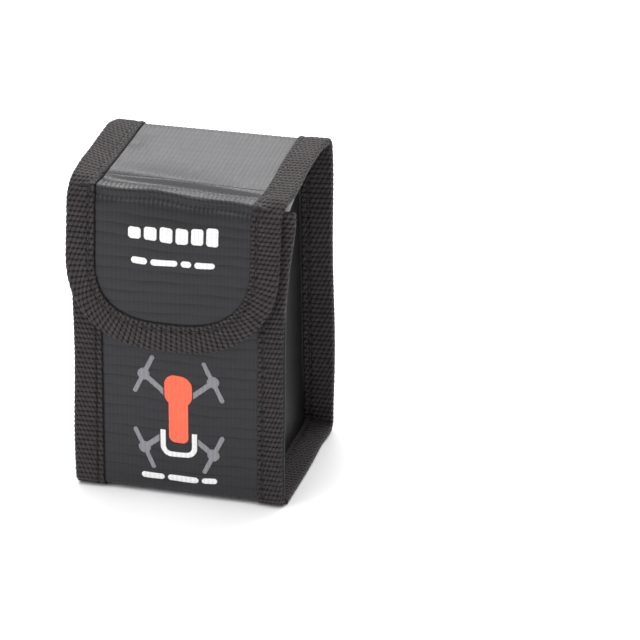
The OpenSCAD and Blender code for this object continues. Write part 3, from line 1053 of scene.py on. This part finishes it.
def emblem():
    """Six rising blocks on one line."""
    node = "flap_emblem_print"
    width, height, middle = print_box(node)
    blocks = 6
    tall = height / math.cos(lean)
    pitch = width / (blocks - 0.2)
    shapes = []
    for i in range(blocks):
        block_h = tall * (i + 7) / (blocks + 6)
        x = (i - (blocks - 1) / 2) * pitch
        shapes.append(box_shape(x, (tall - block_h) / 2, pitch * 0.8, block_h, 1.0))
    half = (width / 2 + 1, tall / 2 + 1)
    print_piece("flap_emblem", node, joined(*shapes), half, middle, "white_ink", "flap")


# The sign's proportions, as shares of its driving size
ARM_FROM, ARM_TO, ARM_R = (0.05, 0.14), (0.34, 0.38), 0.0275
BLADE_HALF, BLADE_R, BLADE_TURN = (0.44 - 0.045) / 2, 0.0225, math.radians(64)
HUB_R = 0.06


def rotor_sign():
    """A four-rotor sign: an orange hull, grey arms and rotors, and a white cradle under the hull."""
    rotor_w, _, middle = print_box("sign_rotor_print")
    size = rotor_w / 2 / (ARM_TO[0] + BLADE_HALF * math.cos(BLADE_TURN) + BLADE_R)

    def block(v, width, height, r):
        return box_shape(0, size * v, size * width, size * height, size * r)

    hull = joined(block(0.25, 0.27, 0.3, 0.1), block(0, 0.19, 0.56, 0.06))
    cradle, cradle_in = block(-0.25, 0.36, 0.36, 0.1), block(-0.25, 0.26, 0.26, 0.06)
    above = box_shape(0, size * 0.33, size, size, 0.01)
    dx, dv = size * BLADE_HALF * math.cos(BLADE_TURN), size * BLADE_HALF * math.sin(BLADE_TURN)
    arms = []
    for mx, mv in ((-1, -1), (-1, 1), (1, -1), (1, 1)):
        (x0, v0), (x1, v1) = ((mx * size * x, mv * size * v) for x, v in (ARM_FROM, ARM_TO))
        bx, bv = mx * dx, -mv * dv
        arms.append(pill_shape(x0, v0, x1, v1, size * ARM_R))
        arms.append(pill_shape(x1, v1, x1 + 0.01, v1, size * HUB_R))
        arms.append(pill_shape(x1 - bx, v1 - bv, x1 + bx, v1 + bv, size * BLADE_R))
    ink_gap = 0.4
    clear = grown(hull, ink_gap)
    rotors = without(joined(*arms), clear, grown(cradle, ink_gap))
    frame_shape = without(cradle, cradle_in, clear, above)
    half = (size * 0.62, size * 0.62 + 6)
    print_piece("sign_rotors", "sign_rotor_print", rotors, half, middle, "grey_ink", "bag")
    print_piece("sign_hull", "sign_hull_print", hull, half, middle, "orange_ink", "bag")
    print_piece("sign_frame", "sign_frame_print", frame_shape, half, middle, "white_ink", "bag")


def build_prints():
    emblem()
    caption("flap_caption", (3, 5, 2, 4), "flap")
    rotor_sign()
    caption("front_caption", (3, 4, 2), "bag")


# ---- mouth bindings
def beside(sign):
    """As place(), for a piece on a side panel: along the mouth, down from it, and out of the panel."""

    def placer(along, down, d):
        y, z = sign * along, BODY_TOP - down
        x = sign * (SIDE_X + d - side_sink(y, z))
        return np.stack(stand(x, y, z), -1) * MM

    return placer


def mouth_path(half, step=0.45):
    along = np.linspace(-half, half, int(2 * half / step))
    return np.column_stack([along, 0 * along, 0 * along, 0 * along + 1, along])


def build_mouth():
    depth = PANEL_T + LINING_T + 2 * MOUTH_T
    pieces = [("front", mouth_path(high("front_mouth_binding")[0]), FRONT_MOUTH, place)]
    for side, sign in SIDES:
        pieces.append((side, mouth_path(high(f"{side}_mouth_binding")[1]), SIDE_MOUTH, beside(sign)))
    for side, path, kind, placer in pieces:
        piece = tape_mesh(f"{side}_mouth_tape", path, depth, kind, placer)
        settle(piece, f"{side}_mouth_binding", "bag")


# ---- loop and hook strips
# The small parts of a strip: their name, curve, pitch, distance from the seam, radius and how far they
# start below the band's face, with the material and slot of the strip
Pile = namedtuple("Pile", "name curve pitch from_seam radius sunk material slot")
LOOPS = Pile(
    "loop",
    [(0.42 * math.cos(a), 0.62 * math.sin(a)) for a in np.linspace(0, math.pi, 7)],
    0.95, 0.7, 0.1, 0.08, LOOP_FIBRE, "loop_pile",
)
HOOKS = Pile(
    "hook",
    [(0, 0), (0.02, 0.35), (0.07, 0.58), (0.2, 0.7), (0.35, 0.66), (0.44, 0.52)],
    1.5, 0.8, 0.12, 0.06, HOOK_PLASTIC, "hook_plastic",
)
BAND_T = 0.35


def strip_base(name, half, face, under, material):
    """A strip's flat band, half its size wide and tall round its middle, between two depths."""
    (half_w, half_h), middle = half
    xs, rows = (np.arange(-reach, reach + 0.1, 0.4) for reach in (half_w, half_h))
    x, s = np.meshgrid(xs, rows + middle)
    weave = 0.05 * beads(2 * x, 2 * s)
    outer = place(x, s, max(face, under) + weave * (face > under))
    inner = place(x, s, min(face, under) - weave * (face < under))
    return make_shell(name, outer, inner, grid_faces(*x.shape)[:, ::-1], material, cloth_coords(x, s))


def tuft_places(half, kind):
    """Places of the loops or hooks: a slightly uneven grid that leaves the seam free."""
    (half_w, half_h), middle = half
    x, s = np.meshgrid(*(np.arange(-reach + 0.8, reach - 0.7, kind.pitch) for reach in (half_w, half_h)))
    x, s = (flat.ravel() + rng.uniform(-0.12, 0.12, flat.size) for flat in (x, s))
    to_seam = np.abs(np.maximum(np.abs(x) - half_w + SEAM_INSET, np.abs(s) - half_h + SEAM_INSET))
    kept = to_seam > kind.from_seam
    return x[kept], s[kept] + middle


def tufts(kind, places, turns, base, outward):
    """A small bent yarn or hook at each place, standing outward (1) or inward (-1) from depth base."""
    curve = np.array(kind.curve)
    sides = 5
    slope = np.gradient(curve, axis=0)
    slope /= np.linalg.norm(slope, axis=1)[:, None]
    ring = np.linspace(0, 2 * math.pi, sides, endpoint=False)
    away = curve[:, 0][:, None] - kind.radius * slope[:, 1][:, None] * np.cos(ring)
    tall = curve[:, 1][:, None] + kind.radius * slope[:, 0][:, None] * np.cos(ring)
    wide = kind.radius * np.sin(ring) + 0 * away
    cos, sin = np.cos(turns)[:, None, None], np.sin(turns)[:, None, None]
    x = places[0][:, None, None] + away * cos - wide * sin
    s = places[1][:, None, None] + away * sin + wide * cos
    points = place(x, s, base + outward * tall + 0 * x)
    one = grid_faces(len(curve), sides, closed=True)
    size = len(curve) * sides
    starts = range(0, len(turns) * size, size)
    faces = np.concatenate([one + start for start in starts])
    caps = [cap for start in starts for cap in end_caps(start, size, sides)]
    if outward > 0:
        faces, caps = flipped(faces, caps)
    return make_piece(f"{kind.name}s", points, faces, kind.material, caps=caps)


def strip_seam(half, depth):
    """The stitch line round a strip, as four straight lines."""
    (half_w, half_h), middle = half
    w, h = half_w - SEAM_INSET, half_h - SEAM_INSET
    corners = np.array([(-w, -h), (w, -h), (w, h), (-w, h), (-w, -h)]) + [0, middle]
    return [(np.array([a, b]), depth) for a, b in zip(corners, corners[1:])]


def sewn_strip(kind, half, face, outward, spin, body):
    """A strip on a face: its band, its loops or hooks, turned as spin(count) says, and its stitches."""
    top = face + outward * BAND_T
    piece = strip_base(f"{kind.name}_band", half, top, face, kind.material)
    settle(piece, f"{kind.name}_strip", body, rigid=True)
    places = tuft_places(half, kind)
    turns = spin(len(places[0]))
    piece = tufts(kind, places, turns, top - outward * kind.sunk, outward)
    settle(piece, f"{kind.name}_strip", body, rigid=True)
    piece = stitches(f"{kind.name}_stitches", strip_seam(half, top + outward * 0.05))
    settle(piece, f"{kind.name}_thread", body, rigid=True)


def build_closure():
    def any_way(count):
        return rng.uniform(0, 2 * math.pi, count)

    def left_or_right(count):
        return np.where(np.arange(count) % 2, 0, math.pi) + rng.uniform(-0.15, 0.15, count)

    size = (STRIP_HIGH - STRIP_LOW)[[0, 2]] / [2, 2 * math.cos(lean)]
    on_front = (size, along_run((STRIP_LOW[2] + STRIP_HIGH[2]) / 2, "bag"))
    on_flap = (size, along_run((HOOK_LOW[2] + HOOK_HIGH[2]) / 2, "flap"))
    sewn_strip(LOOPS, on_front, -TAPE_T, 1, any_way, "bag")
    sewn_strip(HOOKS, on_flap, -EDGE_T + TAPE_T, -1, left_or_right, "flap")


# ---- build
def build_strip():
    wrap = (0.4, MARK.split_back)
    lid = (MARK.split_back, MARK.split_front)
    bottom = (MARK.bottom_front + 2, MARK.bottom_back - 2)
    straight_cloth("wrap_cloth", wrap, "outer_wrap", "bag", bottom)
    straight_lining("wrap_lining_cloth", wrap, SIDE_X - PANEL_T - LINING_T, "wrap_lining", "bag")
    straight_cloth("lid_cloth", lid, "lid_panel", "lid")
    straight_lining("lid_lining_cloth", lid, SIDE_X + UNDER_TAPE, "lid_lining", "lid")
    build_flap()
    lining_corner()


def sewn_tape(name, path, depth, kind, body):
    """A tape with its stitches, for the binding and the thread of that name."""
    piece = tape_mesh(f"{name}_tape", path, depth, kind)
    settle(piece, f"{name}_binding", body)
    piece = stitches(f"{name}_stitches", seam_lines(path, depth))
    settle(piece, f"{name}_thread", body)


def build_tapes():
    for side, sign in SIDES:
        kind = WIDE._replace(width=TAPE_W + LEFT_WIDER) if side == "left" else WIDE
        sewn_tape(f"{side}_body", edge_path(sign, 0, MARK.split_back), SEAM_T, kind, "bag")
        lid_edge = edge_path(sign, MARK.split_back, MARK.split_front)
        sewn_tape(f"{side}_lid", lid_edge, EDGE_T, WIDE, "lid")
    sewn_tape("flap", flap_path(), EDGE_T, WIDE, "flap")


def build_sides():
    for side, sign in SIDES:
        side_piece(side, sign, lining=False)
        side_piece(side, sign, lining=True)


# ---- stage
def aim(item, target):
    item.rotation_mode = "QUATERNION"
    item.rotation_quaternion = (Vector(target) - item.location).to_track_quat("-Z", "Y")


def build_camera():
    """Seen from a little right of the front and from above, with the bag left of the middle."""
    azimuth, elevation, distance = math.radians(14.55), math.radians(24.63), 1.0
    target = Vector((0.048, -0.0203, 0.0687))
    data = bpy.data.cameras.new("camera")
    data.sensor_width = 36
    data.lens = 163.7
    data.clip_end = 20
    camera = add_object("camera", data)
    level = math.cos(elevation)
    back = Vector((math.sin(azimuth) * level, -math.cos(azimuth) * level, math.sin(elevation)))
    camera.location = target + back * distance
    aim(camera, target)
    bpy.context.scene.camera = camera


def area_light(name, location, target, width, height, power):
    data = bpy.data.lights.new(name, "AREA")
    data.shape = "RECTANGLE"
    data.size = width
    data.size_y = height
    data.energy = power
    light = add_object(name, data)
    light.location = location
    aim(light, target)


def build_stage():
    mesh = bpy.data.meshes.new("floor")
    reach = 6.0
    corners = [(-reach, -reach, 0), (reach, -reach, 0), (reach, reach, 0), (-reach, reach, 0)]
    mesh.from_pydata(corners, [], [(0, 1, 2, 3)])
    pale = (0.93, 0.93, 0.935, 1)
    material = new_material("pale_floor", Roughness=0.6, Base_Color=pale, Specular_IOR_Level=0.2)[0]
    mesh.materials.append(material)
    add_object("floor", mesh)
    world = bpy.data.worlds.new("studio")
    world.use_nodes = True
    background = world.node_tree.nodes["Background"]
    background.inputs["Color"].default_value = (1, 1, 1, 1)
    background.inputs["Strength"].default_value = 0.55
    bpy.context.scene.world = world
    middle = (0, 0, 0.06)
    area_light("overhead", (-0.2, -0.1, 1.3), middle, 1.6, 1.6, 20)
    area_light("behind", (0.1, 1.5, 1.25), middle, 2.4, 0.5, 30)
    area_light("front_left", (-1.1, -1.2, 0.9), middle, 0.9, 0.9, 6)
    bpy.context.scene.view_settings.view_transform = "Standard"


build_camera()
build_stage()
build_strip()
build_tapes()
build_sides()
build_mouth()
build_closure()
build_prints()
